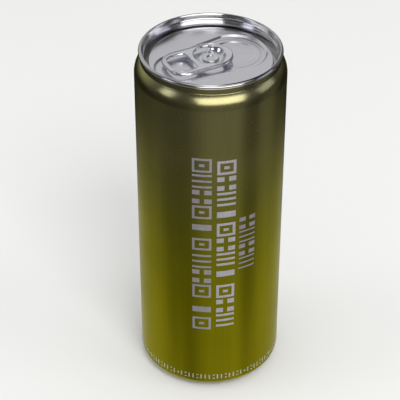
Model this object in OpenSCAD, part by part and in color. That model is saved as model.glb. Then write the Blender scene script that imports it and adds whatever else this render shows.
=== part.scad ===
// Slim drinks can, full and shut, with its pull tab lying flat.
// Millimetres, +Z up. Origin at the middle of the stand ring, on the floor.
// The printed front faces -Y. The end, its opening and the tab are turned together about Z.

/* [Overall size] */
// Height from the floor to the top of the seam
can_height = 135; // [110:0.5:190]
// Outside diameter of the straight wall
body_diameter = 53; // [44:0.5:70]
// Turn of the end about the can's axis, from +X to the tab's nose, in degrees
end_turn = 28.5; // [-180:0.5:180]

/* [Shoulder and neck] */
// How far the neck lies inside the wall
neck_inset = 2.2; // [1:0.1:6]
// Straight height of the neck under the seam
neck_height = 2; // [0.5:0.1:5]
// Radius of the outward curve of the shoulder
shoulder_radius = 8; // [4:0.5:16]
// Radius of the inward curve between shoulder and neck
neck_fillet = 1; // [0.3:0.1:4]

/* [Heel and base] */
// Radius where the wall turns under
heel_radius = 2; // [1:0.1:5]
// Height at which the wall starts to turn under
heel_height = 4.4; // [3:0.1:9]
// How far the stand ring's outer edge lies inside the wall
stand_inset = 4; // [2.5:0.1:8]
// Width of the flat that touches the floor
stand_width = 1; // [0.4:0.1:3]
// Height of the dome's foot, where it leaves the stand ring
dome_foot_height = 2; // [1:0.1:5]
// How far the dome's foot lies inside the stand ring
dome_foot_inset = 1.2; // [0.4:0.1:3]
// Height of the dome's crown above its foot
dome_rise = 7; // [3:0.5:14]

/* [Seam] */
// How far the seam stands out beyond the neck
seam_overhang = 0.55; // [0.3:0.05:2]
// Thickness of the seam, from outside to inside
seam_thickness = 1.7; // [0.8:0.05:2]
// Height of the seam
seam_height = 1.3; // [1.2:0.1:4]
// Bevel on the seam's lower outer edge
seam_bevel = 0.3; // [0.1:0.05:0.6]

/* [End] */
// Thickness of the can's own wall where it hugs the end
wall_gauge = 0.2; // [0.1:0.05:0.6]
// Depth of the flat panel below the top of the seam
panel_depth = 4.3; // [3:0.1:7]
// Depth of the groove round the panel below the top of the seam
groove_depth = 6.5; // [4:0.1:9]
// Width of the groove round the panel
groove_width = 1.1; // [0.6:0.1:2.5]
// How far the groove's outer edge lies inside the seam
groove_inset = 0.45; // [0.2:0.05:2.5]
// Sheet left under the groove
end_gauge = 0.4; // [0.2:0.05:1]
// Bevel on the panel's edge
panel_bevel = 0.45; // [0.1:0.05:1]

/* [Opening] */
// Depth of the sunk field round the tab
field_depth = 0.5; // [0.2:0.05:1]
// Radius of the sunk field's round end
field_radius = 11.6; // [6:0.1:16]
// Radius of the sunk field's narrow end
field_tail_radius = 8.6; // [4:0.1:14]
// How far the sunk field's straight sides are drawn in from touching its round ends
field_waist = 0.06; // [0.02:0.01:1]
// Rim of plain panel left outside each end of the sunk field
field_inset = 1.1; // [0.5:0.1:4]
// Radius of the pan pressed into the tear panel
pan_radius = 7.9; // [4:0.1:10]
// Depth of the pan below the sunk field
pan_depth = 0.3; // [0.1:0.05:0.45]
// Plain field left between the pan and the tab's tongue
pan_clearance = 0.6; // [0.2:0.1:3]
// Distance from the pan's edge to the tear line
score_offset = 1.75; // [1:0.05:3]
// Half of the arc that the tear line covers, in degrees
score_reach = 125; // [60:5:140]
// Width of the tear line
score_width = 0.36; // [0.2:0.02:0.8]
// Depth of the tear line
score_depth = 0.15; // [0.05:0.01:0.3]

/* [Rivet] */
// Radius of the rivet's post
post_radius = 1.9; // [1:0.1:3]
// Play between the post and the tab
post_clearance = 0.1; // [0.05:0.05:0.4]
// Radius of the rivet's head
head_radius = 3; // [2:0.1:4]
// Thickness of the rivet's head
head_thickness = 0.55; // [0.3:0.05:1]
// Play between the head and the tab
head_clearance = 0.05; // [0.02:0.01:0.2]
// Bevel on the head's top edge
head_bevel = 0.2; // [0.05:0.05:0.4]
// Radius of the dimple in the head
dimple_radius = 1.25; // [0.5:0.05:2]
// Depth of the dimple in the head
dimple_depth = 0.35; // [0.1:0.05:0.6]

/* [Pull tab] */
// Half of the tab's width, and radius of its nose
nose_radius = 7.8; // [6:0.1:10]
// Panel left between the tab's finger end and the panel's edge
finger_inset = 4.4; // [2:0.1:8]
// Radius of the rolled edge round the tab
roll_radius = 0.75; // [0.4:0.05:1.2]
// Gap between the rolled edge and the sunk field
tab_gap = 0.8; // [0.3:0.05:2]
// Radius of the corners at the finger end
finger_corner = 5.8; // [2:0.1:6.5]
// Thickness of the tab's flat web
web_gauge = 0.45; // [0.2:0.05:0.8]
// How far the web lies below the top of the rolled edge
web_drop = 0.15; // [0.05:0.05:0.5]

/* [Holes in the tab] */
// Rim between the round window over the rivet and the tab's nose
window_rim = 1.8; // [1.4:0.1:3]
// Radius of the rolled edge of the window
window_roll = 0.4; // [0.2:0.05:0.7]
// Width of the slot between the window and the tongue's disc round the rivet
slot_width = 1.8; // [0.8:0.1:2.5]
// Thickness of the tongue's disc
tongue_gauge = 0.45; // [0.2:0.05:0.8]
// Half of the arc over which the tongue runs up to the nose, in degrees
tongue_reach = 62; // [30:2:90]
// Rim between the finger hole and the finger end
finger_rim = 1.75; // [1:0.05:3]
// Bridge between the finger hole and the window
finger_bridge = 1.35; // [0.8:0.05:3]
// Rim between the finger hole and each side of the tab
finger_side_rim = 2.5; // [1.5:0.1:4]
// Radius of the finger hole's corners at the finger end, where the hole is long enough
finger_outer_corner = 3.4; // [1:0.1:5]
// Radius of the finger hole's corners at the bridge, where the hole is long enough
finger_inner_corner = 2.4; // [0.5:0.1:4]
// Radius of the rolled edge of the finger hole
finger_roll = 0.45; // [0.2:0.05:0.7]

/* [Hidden] */
$fn = 96;
BODY_COLOUR = [0.44, 0.42, 0.06];
METAL_COLOUR = [0.72, 0.72, 0.75];
CUT = 1;

// Radii, from the wall inwards
body_r = body_diameter / 2;
neck_r = body_r - neck_inset;
seam_r = neck_r + seam_overhang;
bore_r = seam_r - seam_thickness;
plug_r = neck_r - wall_gauge;
groove_outer_r = bore_r - groove_inset;
panel_r = groove_outer_r - groove_width;
stand_r = body_r - stand_inset;
dome_r = stand_r - stand_width - dome_foot_inset;
dome_sphere_r = (pow(dome_r, 2) + pow(dome_rise, 2)) / (2 * dome_rise);

// Heights, from the top of the seam downwards
seam_foot = can_height - seam_height;
roll_z = can_height - seam_thickness / 2;
panel_z = can_height - panel_depth;
groove_z = can_height - groove_depth;
plug_z = groove_z - end_gauge;
field_z = panel_z - field_depth;

// The shoulder's curve touches the wall below and the fillet of the neck above
shoulder_x = body_r - shoulder_radius;
fillet_x = neck_r + neck_fillet;
fillet_z = seam_foot - neck_height;
shoulder_z = fillet_z - sqrt(pow(shoulder_radius + neck_fillet, 2) - pow(fillet_x - shoulder_x, 2));

// The cone from the stand ring touches the heel's curve this far below the level
heel_run = body_r - heel_radius - stand_r;
heel_lean = 90 - atan2(heel_height, heel_run) + asin(heel_radius / norm([heel_run, heel_height]));

// The sunk field is two circles and the straight sides between them
field_x = panel_r - field_inset - field_radius;
tail_x = -(panel_r - field_inset - field_tail_radius);
field_lean = acos((field_radius - field_tail_radius) / (field_x - tail_x));

// The tab, along its own axis from the rivet
window_radius = nose_radius - window_rim;
tongue_radius = window_radius - slot_width;
finger_reach = panel_r - finger_inset;
corner_x = -(finger_reach - finger_corner);
corner_y = nose_radius - finger_corner;

// The tab's heights
tongue_top = field_z + tongue_gauge;
head_z = tongue_top + head_clearance;
roll_mid = field_z + tab_gap + roll_radius;
tab_top = roll_mid + roll_radius;
web_z = tab_top - web_drop - web_gauge;

// The finger hole, to the middle of its rolled edge
hole_left = -(finger_reach - finger_rim) - finger_roll;
hole_right = -(window_radius + finger_bridge) + finger_roll;
hole_side = nose_radius - finger_side_rim + finger_roll;
hole_length = hole_right - hole_left;
hole_outer = min(finger_outer_corner + finger_roll, 0.5 * hole_length);
hole_inner = min(finger_inner_corner + finger_roll, 0.4 * hole_length);

// Points on an arc about [x, y], ends included
function arc_points(x, y, r, from, to, steps) =
    [for (i = [0:steps]) [x + r * cos(from + (to - from) * i / steps), y + r * sin(from + (to - from) * i / steps)]];

// Outline of the tab along the middle of its rolled edge
function tab_outline() = concat(
    arc_points(0, 0, nose_radius - roll_radius, -90, 90, 24),
    arc_points(corner_x, corner_y, finger_corner - roll_radius, 90, 180, 10),
    arc_points(corner_x, -corner_y, finger_corner - roll_radius, 180, 270, 10));

// Outline of the finger hole along the middle of its rolled edge
function hole_outline() = concat(
    arc_points(hole_right - hole_inner, hole_side - hole_inner, hole_inner, 0, 90, 8),
    arc_points(hole_left + hole_outer, hole_side - hole_outer, hole_outer, 90, 180, 8),
    arc_points(hole_left + hole_outer, -hole_side + hole_outer, hole_outer, 180, 270, 8),
    arc_points(hole_right - hole_inner, -hole_side + hole_inner, hole_inner, 270, 360, 8));

// A length of round bar from one point to another, both at z = 0
module bar(from, to, r) {
    run = to - from;
    translate([from[0], from[1], 0])
        rotate([0, 0, atan2(run[1], run[0])])
            rotate([0, 90, 0])
                cylinder(r = r, h = norm(run));
}

// A bent length of round bar about [x, y]
module bend(x, y, bend_r, r, from, to) {
    translate([x, y, 0])
        rotate([0, 0, from])
            rotate_extrude(angle = to - from)
                translate([bend_r, 0]) circle(r = r);
}

// A flat washer standing on z = 0
module ring(inner, outer, height) {
    difference() {
        cylinder(r = outer, h = height);
        translate([0, 0, -CUT]) cylinder(r = inner, h = height + 2 * CUT);
    }
}

// Half section of the can's body, with the place of the end cut out
module body_section() {
    difference() {
        union() {
            translate([0, heel_height]) square([body_r, shoulder_z - heel_height]);
            square([neck_r, seam_foot]);
            intersection() {
                translate([shoulder_x, shoulder_z]) circle(r = shoulder_radius);
                translate([0, shoulder_z]) square([body_r + CUT, fillet_z - shoulder_z]);
            }
            polygon([[shoulder_x, shoulder_z], [fillet_x, fillet_z], [neck_r - CUT, fillet_z]]);
            translate([body_r - heel_radius, heel_height]) circle(r = heel_radius);
            polygon([
                [0, 0], [stand_r, 0],
                [body_r - heel_radius + heel_radius * cos(heel_lean), heel_height - heel_radius * sin(heel_lean)],
                [body_r - heel_radius, heel_height], [0, heel_height]]);
        }
        translate([fillet_x, fillet_z]) circle(r = neck_fillet);
        translate([0, plug_z]) square([plug_r, can_height]);
        polygon([[0, -CUT], [dome_r + dome_foot_inset, -CUT], [dome_r + dome_foot_inset, 0],
            [dome_r, dome_foot_height], [0, dome_foot_height]]);
        intersection() {
            translate([0, dome_foot_height + dome_rise - dome_sphere_r]) circle(r = dome_sphere_r);
            translate([0, dome_foot_height]) square([dome_r, dome_rise + CUT]);
        }
    }
}

// Full can below the end
module can_body() {
    color(BODY_COLOUR)
        rotate_extrude() body_section();
}

// Half section of the end: seam, wall, groove and panel
module end_section() {
    difference() {
        union() {
            translate([0, plug_z]) square([plug_r, roll_z - plug_z]);
            polygon([
                [bore_r, seam_foot], [seam_r - seam_bevel, seam_foot], [seam_r, seam_foot + seam_bevel],
                [seam_r, roll_z], [bore_r, roll_z]]);
            intersection() {
                translate([seam_r - seam_thickness / 2, roll_z]) circle(r = seam_thickness / 2);
                translate([0, roll_z]) square([seam_r, seam_thickness]);
            }
        }
        polygon([
            [0, panel_z], [panel_r - panel_bevel, panel_z], [panel_r, panel_z - panel_bevel],
            [panel_r + groove_width / 4, groove_z], [groove_outer_r - groove_width / 4, groove_z],
            [groove_outer_r, groove_z + panel_bevel], [bore_r, roll_z], [0, roll_z]]);
    }
}

// Plan of the sunk field round the tab
module field_plan() {
    translate([field_x, 0]) circle(r = field_radius);
    translate([tail_x, 0]) circle(r = field_tail_radius);
    round_arm = field_radius - field_waist;
    tail_arm = field_tail_radius - field_waist;
    polygon([
        [field_x + round_arm * cos(field_lean), round_arm * sin(field_lean)],
        [tail_x + tail_arm * cos(field_lean), tail_arm * sin(field_lean)],
        [tail_x + tail_arm * cos(field_lean), -tail_arm * sin(field_lean)],
        [field_x + round_arm * cos(field_lean), -round_arm * sin(field_lean)]]);
}

// Pan pressed into the tear panel, kept clear of the tongue
module pan() {
    translate([0, 0, field_z - pan_depth])
        linear_extrude(pan_depth + CUT)
            difference() {
                translate([field_x, 0]) circle(r = pan_radius);
                circle(r = tongue_radius + pan_clearance);
            }
}

// Tear line round the opening
module score() {
    translate([field_x, 0, field_z])
        rotate([0, 0, -score_reach])
            rotate_extrude(angle = 2 * score_reach)
                translate([pan_radius + score_offset, 0])
                    polygon([[-score_width / 2, CUT], [-score_width / 2, 0], [0, -score_depth],
                        [score_width / 2, 0], [score_width / 2, CUT]]);
}

// Rivet that holds the tab, drawn up from the panel
module rivet() {
    translate([0, 0, field_z - CUT / 4]) cylinder(r = post_radius, h = head_z - field_z + CUT / 2);
    translate([0, 0, head_z])
        rotate_extrude()
            polygon([
                [0, 0], [head_radius, 0], [head_radius, head_thickness - head_bevel],
                [head_radius - head_bevel, head_thickness], [dimple_radius, head_thickness],
                [dimple_radius / 2, head_thickness - dimple_depth], [0, head_thickness - dimple_depth]]);
}

// End with its seam, seated in the neck
module can_end() {
    color(METAL_COLOUR) {
        difference() {
            rotate_extrude() end_section();
            rotate([0, 0, end_turn]) {
                translate([0, 0, field_z]) linear_extrude(field_depth + CUT) field_plan();
                pan();
                score();
            }
        }
        rotate([0, 0, end_turn]) rivet();
    }
}

// Rolled edge round the whole tab
module tab_roll() {
    line_r = nose_radius - roll_radius;
    corner_r = finger_corner - roll_radius;
    bend(0, 0, line_r, roll_radius, -90, 90);
    for (side = [-1, 1]) bar([corner_x, side * line_r], [0, side * line_r], roll_radius);
    bend(corner_x, corner_y, corner_r, roll_radius, 90, 180);
    bar([corner_x - corner_r, -corner_y], [corner_x - corner_r, corner_y], roll_radius);
    bend(corner_x, -corner_y, corner_r, roll_radius, 180, 270);
}

// Rolled edge of the finger hole
module finger_hole_roll() {
    outer_x = hole_left + hole_outer;
    inner_x = hole_right - hole_inner;
    outer_y = hole_side - hole_outer;
    inner_y = hole_side - hole_inner;
    bend(inner_x, inner_y, hole_inner, finger_roll, 0, 90);
    bend(outer_x, outer_y, hole_outer, finger_roll, 90, 180);
    bend(outer_x, -outer_y, hole_outer, finger_roll, 180, 270);
    bend(inner_x, -inner_y, hole_inner, finger_roll, 270, 360);
    for (side = [-1, 1]) bar([outer_x, side * hole_side], [inner_x, side * hole_side], finger_roll);
    bar([hole_left, -outer_y], [hole_left, outer_y], finger_roll);
    bar([hole_right, -inner_y], [hole_right, inner_y], finger_roll);
}

// Flat web between the rolled edges
module tab_web() {
    linear_extrude(web_gauge)
        difference() {
            polygon(tab_outline());
            polygon(hole_outline());
            circle(r = window_radius + window_roll);
        }
}

// Tongue: a disc held by the rivet, and the slope that runs from it up to the nose
module tongue() {
    rise = web_z - field_z;
    rotate([0, 0, -tongue_reach])
        rotate_extrude(angle = 2 * tongue_reach)
            polygon([
                [tongue_radius - CUT / 2, 0], [tongue_radius, 0], [window_radius + window_roll, rise],
                [window_radius + window_roll, rise + web_gauge], [window_radius, rise + web_gauge],
                [tongue_radius - CUT / 2, tongue_gauge]]);
    ring(post_radius + post_clearance, tongue_radius, tongue_gauge);
}

// Pull tab, lying flat over the sunk field
module pull_tab() {
    color(METAL_COLOUR)
        rotate([0, 0, end_turn]) {
            translate([0, 0, roll_mid]) tab_roll();
            translate([0, 0, web_z]) tab_web();
            translate([0, 0, web_z + web_gauge / 2]) {
                finger_hole_roll();
                bend(0, 0, window_radius + window_roll, window_roll, 0, 360);
            }
            translate([0, 0, field_z]) tongue();
        }
}

can_body();
can_end();
pull_tab();
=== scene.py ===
"""Slim drinks can, full and shut, on a pale studio floor.

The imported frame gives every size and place. The wall, the end and the pull tab are rebuilt here as fine
meshes that stand for the CAD nodes, and each gets a procedural finish.
"""
import logging
import math
from collections.abc import Callable, Iterable
from dataclasses import dataclass, field
from enum import Enum

import bmesh
import bpy
import numpy as np
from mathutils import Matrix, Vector


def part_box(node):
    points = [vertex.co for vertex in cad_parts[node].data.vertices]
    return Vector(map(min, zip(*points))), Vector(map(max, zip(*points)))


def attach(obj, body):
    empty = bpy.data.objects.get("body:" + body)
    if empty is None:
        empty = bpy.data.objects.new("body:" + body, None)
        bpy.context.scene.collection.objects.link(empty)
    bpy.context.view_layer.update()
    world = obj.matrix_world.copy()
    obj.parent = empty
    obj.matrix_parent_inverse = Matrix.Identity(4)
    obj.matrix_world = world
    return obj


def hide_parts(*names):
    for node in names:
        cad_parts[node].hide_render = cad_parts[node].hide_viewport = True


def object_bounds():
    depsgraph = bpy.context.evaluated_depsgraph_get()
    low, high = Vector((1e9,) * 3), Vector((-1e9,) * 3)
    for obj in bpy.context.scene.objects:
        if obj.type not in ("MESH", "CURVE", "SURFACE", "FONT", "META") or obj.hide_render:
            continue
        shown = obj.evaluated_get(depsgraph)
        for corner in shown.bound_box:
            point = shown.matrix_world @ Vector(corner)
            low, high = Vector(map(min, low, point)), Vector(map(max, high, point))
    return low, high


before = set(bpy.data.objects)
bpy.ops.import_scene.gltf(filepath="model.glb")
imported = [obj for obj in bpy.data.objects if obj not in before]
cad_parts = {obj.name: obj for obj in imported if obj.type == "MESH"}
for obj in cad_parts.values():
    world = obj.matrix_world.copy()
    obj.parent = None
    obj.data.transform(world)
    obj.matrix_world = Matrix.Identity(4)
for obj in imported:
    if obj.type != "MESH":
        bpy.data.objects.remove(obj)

CAD_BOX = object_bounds()
MM = 0.001
ROOT = "root"
POLE = 1e-9
MERGE = 1e-7
TAB_TURN = 28.5
TAB_SINK = 0.5
WALL_SINK = 0.05
PRINT_SINK = 0.025
ROUND_STEPS = 96
LOG = logging.getLogger("slim_can")

Point = tuple[float, float]
Colour = tuple[float, float, float]


# ---------------------------------------------------------------- mesh making

def arc(x: float, y: float, radius: float, start: float, stop: float, steps: int) -> list[Point]:
    """Points along an arc, both ends included.

    Args:
        x: first coordinate of the centre.
        y: second coordinate of the centre.
        radius: radius of the arc.
        start: angle of the first point, in degrees.
        stop: angle of the last point, in degrees.
        steps: number of chords.

    Returns:
        The points, in order.
    """
    angles = [math.radians(start + (stop - start) * i / steps) for i in range(steps + 1)]
    return [(x + radius * math.cos(a), y + radius * math.sin(a)) for a in angles]


def circle(x: float, radius: float, steps: int) -> list[Point]:
    """Points round a whole circle centred on the first axis."""
    return arc(x, 0.0, radius, 0.0, 360.0, steps)[:-1]


def between(first: Point, last: Point, shares: Iterable[float]) -> list[Point]:
    """Points on the line from the first point to the last, at those shares of its length."""
    return [(first[0] + (last[0] - first[0]) * t, first[1] + (last[1] - first[1]) * t) for t in shares]


def loft(outline: Callable[[float], Iterable[Point]], path: Iterable[Point]) -> np.ndarray:
    """Rings of an outline that takes an inset, one for each inset and height of the path."""
    return np.array([[[x, y, z] for x, y in outline(inset)] for inset, z in path])


def ease(value: np.ndarray) -> np.ndarray:
    """Smooth step from 0 to 1 over the unit range."""
    t = np.clip(value, 0.0, 1.0)
    return t * t * (3.0 - 2.0 * t)


def pressed(depth: float) -> list[Point]:
    """Section of a pressed step, with small rounds and a straight slope.

    Args:
        depth: how deep it is pressed.

    Returns:
        Inset and drop of each point.
    """
    half = 0.55 * depth
    return [(-half - 0.34, 0.0), (-half - 0.14, 0.0), (-half - 0.06, 0.012), (-half, 0.06), (0.0, depth / 2),
            (half, depth - 0.06), (half + 0.06, depth - 0.012), (half + 0.14, depth), (half + 0.34, depth)]


def turned(points: np.ndarray, degrees: float) -> np.ndarray:
    """The points turned about Z by that many degrees."""
    c, s = math.cos(math.radians(degrees)), math.sin(math.radians(degrees))
    return points @ np.array([[c, s, 0.0], [-s, c, 0.0], [0.0, 0.0, 1.0]])


def add_object(name: str, data: bpy.types.ID) -> bpy.types.Object:
    """Puts a new object in the scene.

    Args:
        name: its name.
        data: its mesh, light or camera.

    Returns:
        The object.
    """
    obj = bpy.data.objects.new(name, data)
    bpy.context.scene.collection.objects.link(obj)
    return obj


@dataclass
class Shell:
    """Vertices in millimetres and faces, gathered from several closed skins into one piece."""

    points: list[np.ndarray] = field(default_factory=list)
    faces: list[tuple[int, ...]] = field(default_factory=list)
    count: int = 0

    def add(self, points: np.ndarray, faces: list[tuple[int, ...]]) -> int:
        """Adds a skin.

        Args:
            points: its vertices, in millimetres.
            faces: its faces, counted from its own first vertex.

        Returns:
            The number of its first vertex in the whole shell.
        """
        first = self.count
        self.points.append(np.asarray(points, dtype=float))
        self.faces += [tuple(first + i for i in f) for f in faces]
        self.count += len(points)
        return first

    def revolve(self, section: list[Point], segments: int) -> None:
        """Adds a skin turned about Z.

        Args:
            section: radius and height of each point, with radius 0 only at an end.
            segments: number of steps round the axis.
        """
        angles = np.linspace(0.0, 2.0 * math.pi, segments, endpoint=False)
        rings = [[[r * math.cos(a), r * math.sin(a), z] for a in angles] for r, z in section if r > POLE]
        first = self.band(np.array(rings))
        last = first + (len(rings) - 1) * segments
        for (radius, height), ring in ((section[0], first), (section[-1], last)):
            if radius < POLE:
                middle = self.add(np.array([[0.0, 0.0, height]]), [])
                self.faces += [(ring + i, ring + (i + 1) % segments, middle) for i in range(segments)]

    def band(self, rings: np.ndarray) -> int:
        """Adds a skin of closed rings joined in order.

        Args:
            rings: array of rings by points by three coordinates.

        Returns:
            The number of its first vertex in the whole shell.
        """
        count, around = rings.shape[:2]
        faces = [(k * around + i, k * around + j, (k + 1) * around + j, (k + 1) * around + i)
                 for k in range(count - 1) for i, j in ((i, (i + 1) % around) for i in range(around))]
        return self.add(rings.reshape(-1, 3), faces)

    def fill(self, loops: list[np.ndarray], height: float) -> None:
        """Adds a flat skin between an outer loop and the loops of its holes.

        Args:
            loops: the outline and the holes, as points in the plane.
            height: height of the skin.
        """
        bm = bmesh.new()
        edges = []
        for loop in loops:
            verts = [bm.verts.new((float(p[0]), float(p[1]), height)) for p in loop]
            edges += [bm.edges.new((verts[i], verts[(i + 1) % len(verts)])) for i in range(len(verts))]
        bmesh.ops.triangle_fill(bm, use_beauty=True, use_dissolve=False, edges=edges)
        bm.verts.index_update()
        points = np.array([v.co[:] for v in bm.verts])
        faces = [tuple(v.index for v in f.verts) for f in bm.faces]
        bm.free()
        self.add(points, faces)

    def build(self, name: str, finish: bpy.types.Material, slot: str, *nodes: str, turn: float = 0.0,
              smooth: bool = True) -> bpy.types.Object:
        """Makes the piece with its normals facing out, dresses it and ties it to the frame.

        Args:
            name: name of the piece.
            finish: its material.
            slot: the record's material slot; not used.
            nodes: the CAD nodes that it stands for.
            turn: turn of the whole piece about Z, in degrees.
            smooth: whether it is shaded smooth.

        Returns:
            The piece, in metres.
        """
        mesh = bpy.data.meshes.new(name)
        mesh.from_pydata((turned(np.concatenate(self.points), turn) * MM).tolist(), [], self.faces)
        bm = bmesh.new()
        bm.from_mesh(mesh)
        bmesh.ops.remove_doubles(bm, verts=bm.verts, dist=MERGE)
        bmesh.ops.recalc_face_normals(bm, faces=bm.faces)
        for face in bm.faces:
            face.smooth = smooth
        bm.to_mesh(mesh)
        bm.free()
        mesh.materials.append(finish)
        obj = add_object(name, mesh)
        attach(obj, ROOT)
        if nodes:
            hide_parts(*nodes)
        return obj


# ---------------------------------------------------------------- shader making

@dataclass
class Sheet:
    """A node tree with short ways to add and link nodes."""

    tree: bpy.types.NodeTree

    def add(self, kind: str, **inputs: object) -> bpy.types.Node:
        """Adds a node.

        Args:
            kind: Blender's node type, without its ShaderNode.
            inputs: values or sockets for its inputs, by name with _ for a space.

        Returns:
            The node.
        """
        return self.link(self.tree.nodes.new("ShaderNode" + kind), **inputs)

    def link(self, node: bpy.types.Node, **inputs: object) -> bpy.types.Node:
        """Feeds a node's inputs.

        Args:
            node: the node.
            inputs: values or sockets for its inputs, by name with _ for a space.

        Returns:
            The node.
        """
        for name, value in inputs.items():
            self.feed(node.inputs[name.replace("_", " ")], value)
        return node

    def group(self, tree: bpy.types.NodeTree, **inputs: object) -> bpy.types.Node:
        """Places a shared effect.

        Args:
            tree: the effect's group.
            inputs: values or sockets for its inputs, by name with _ for a space.

        Returns:
            The group node.
        """
        node = self.add("Group")
        node.node_tree = tree
        return self.link(node, **inputs)

    def feed(self, socket: bpy.types.NodeSocket, value: object) -> None:
        """Links a socket into an input, or sets the input to a plain value.

        Args:
            socket: the input.
            value: the value or socket.
        """
        if isinstance(value, bpy.types.NodeSocket):
            self.tree.links.new(value, socket)
        else:
            socket.default_value = value

    def math(self, operation: str, a: object, b: object = 0.0, clamp: bool = False) -> bpy.types.NodeSocket:
        """Adds a Math node.

        Args:
            operation: its operation.
            a: first value or socket.
            b: second value or socket.
            clamp: whether the result is held between 0 and 1.

        Returns:
            Its output.
        """
        node = self.add("Math")
        node.operation, node.use_clamp = operation, clamp
        self.feed(node.inputs[0], a)
        self.feed(node.inputs[1], b)
        return node.outputs[0]

    def times(self, a: object, b: object, clamp: bool = False) -> bpy.types.NodeSocket:
        """The product of two values or sockets."""
        return self.math("MULTIPLY", a, b, clamp)

    def plus(self, a: object, b: object, clamp: bool = False) -> bpy.types.NodeSocket:
        """The sum of two values or sockets."""
        return self.math("ADD", a, b, clamp)

    def off_axis(self, parts: bpy.types.Node) -> bpy.types.NodeSocket:
        """Distance from the upright axis, from a Separate XYZ node."""
        return self.math("SQRT", self.plus(self.times(parts.outputs["X"], parts.outputs["X"]),
                                           self.times(parts.outputs["Y"], parts.outputs["Y"])))

    def step(self, value: object, low: float, high: float, at_low: float = 0.0,
             at_high: float = 1.0) -> bpy.types.NodeSocket:
        """Adds a smooth step.

        Args:
            value: value or socket.
            low: where the step starts.
            high: where the step ends.
            at_low: result before the step.
            at_high: result after the step.

        Returns:
            The stepped value.
        """
        node = self.add("MapRange", Value=value, From_Min=low, From_Max=high, To_Min=at_low, To_Max=at_high)
        node.interpolation_type = "SMOOTHSTEP"
        return node.outputs["Result"]

    def window(self, value: object, *edges: float) -> bpy.types.NodeSocket:
        """A smooth step up from the first edge to the second, and down from the third to the fourth."""
        return self.times(self.step(value, *edges[:2]), self.step(value, *edges[2:], 1.0, 0.0))

    def blend(self, amount: object, a: object, b: object, mode: str = "MIX") -> bpy.types.NodeSocket:
        """Adds a colour mix.

        Args:
            amount: share of the second colour.
            a: first colour or socket.
            b: second colour or socket.
            mode: Blender's blend type.

        Returns:
            The mixed colour.
        """
        node = self.add("Mix", Factor=amount)
        node.data_type, node.blend_type = "RGBA", mode
        self.feed(node.inputs[6], a)
        self.feed(node.inputs[7], b)
        return node.outputs[2]

    def noise(self, vector: object, scale: object, detail: float = 2.0) -> bpy.types.NodeSocket:
        """A Noise Texture's value over that vector."""
        return self.add("TexNoise", Vector=vector, Scale=scale, Detail=detail).outputs[0]

    def here(self) -> bpy.types.NodeSocket:
        """The place on the piece, in its own space."""
        return self.add("TexCoord").outputs["Object"]


class Effects:
    """The shader groups that several finishes share, each built once."""

    def __init__(self) -> None:
        """Builds the groups."""
        self.handling = self._handling()
        self.grain = self._grain()

    @staticmethod
    def _begin(name: str, inputs: dict[str, float],
               outputs: tuple[str, ...]) -> tuple[Sheet, bpy.types.Node, bpy.types.Node]:
        """Makes an empty shader node group.

        Args:
            name: name of the group.
            inputs: its value inputs and their first values.
            outputs: its value outputs.

        Returns:
            The group's sheet, its input node and its output node.
        """
        tree = bpy.data.node_groups.new(name, "ShaderNodeTree")
        for label in (*inputs, *outputs):
            way = "INPUT" if label in inputs else "OUTPUT"
            socket = tree.interface.new_socket(label, in_out=way, socket_type="NodeSocketFloat")
            socket.default_value = inputs.get(label, 0.0)
        return Sheet(tree), tree.nodes.new("NodeGroupInput"), tree.nodes.new("NodeGroupOutput")

    def _handling(self) -> bpy.types.NodeTree:
        """Smudges, specks of dust and hairline scratches.

        Returns:
            The group.
        """
        sheet, start, end = self._begin(
            "handling", {"Smudge Scale": 45.0, "Speck Scale": 900.0, "Scratch Scale": 260.0},
            ("Smudge", "Specks", "Scratches"))
        here = sheet.here()
        smudge, speck = start.outputs["Smudge Scale"], start.outputs["Speck Scale"]
        cells = sheet.add("TexVoronoi", Vector=here, Scale=speck)
        near = sheet.step(cells.outputs["Distance"], 0.05, 0.14, 1.0, 0.0)
        chosen = sheet.step(sheet.noise(here, speck, 0.0), 0.66, 0.72)
        bent = sheet.add("TexWave", Vector=here, Scale=start.outputs["Scratch Scale"],
                         Distortion=9.0, Detail=2.0)
        thin = sheet.step(bent.outputs["Fac"], 0.955, 0.995)
        patch = sheet.step(sheet.noise(here, smudge, 2.0), 0.56, 0.68)
        sheet.link(end, Smudge=sheet.step(sheet.noise(here, smudge, 5.0), 0.42, 0.70),
                   Specks=sheet.times(near, chosen, clamp=True),
                   Scratches=sheet.times(thin, patch, clamp=True))
        return sheet.tree

    def _grain(self) -> bpy.types.NodeTree:
        """Fine lines left by rolling or drawing the metal, stretched along one axis.

        Returns:
            The group.
        """
        sheet, start, end = self._begin("drawn_grain", {"Along": 30.0, "Across": 2200.0, "Upright": 0.0},
                                        ("Tone", "Height"))
        parts = sheet.add("SeparateXYZ", Vector=sheet.here())
        along, across, upright = (start.outputs[name] for name in ("Along", "Across", "Upright"))
        flat = sheet.math("SUBTRACT", 1.0, upright)
        x_scale = sheet.plus(sheet.times(flat, along), sheet.times(upright, across))
        z_scale = sheet.plus(sheet.times(upright, along), sheet.times(flat, across))
        scaled = {axis: sheet.times(parts.outputs[axis], scale)
                  for axis, scale in (("X", x_scale), ("Y", across), ("Z", z_scale))}
        stretched = sheet.add("CombineXYZ", **scaled).outputs[0]
        lines = sheet.noise(stretched, 1.0, 3.0)
        sheet.link(end, Tone=sheet.step(lines, 0.30, 0.70), Height=lines)
        return sheet.tree


def new_material(name: str) -> tuple[bpy.types.Material, Sheet, bpy.types.Node]:
    """Makes an empty material.

    Args:
        name: name of the material.

    Returns:
        The material, its sheet of nodes and its Principled shader.
    """
    material = bpy.data.materials.new(name)
    material.use_nodes = True
    material.node_tree.nodes.clear()
    sheet = Sheet(material.node_tree)
    shader = sheet.add("BsdfPrincipled")
    sheet.add("OutputMaterial", Surface=shader.outputs[0])
    return material, sheet, shader


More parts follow.
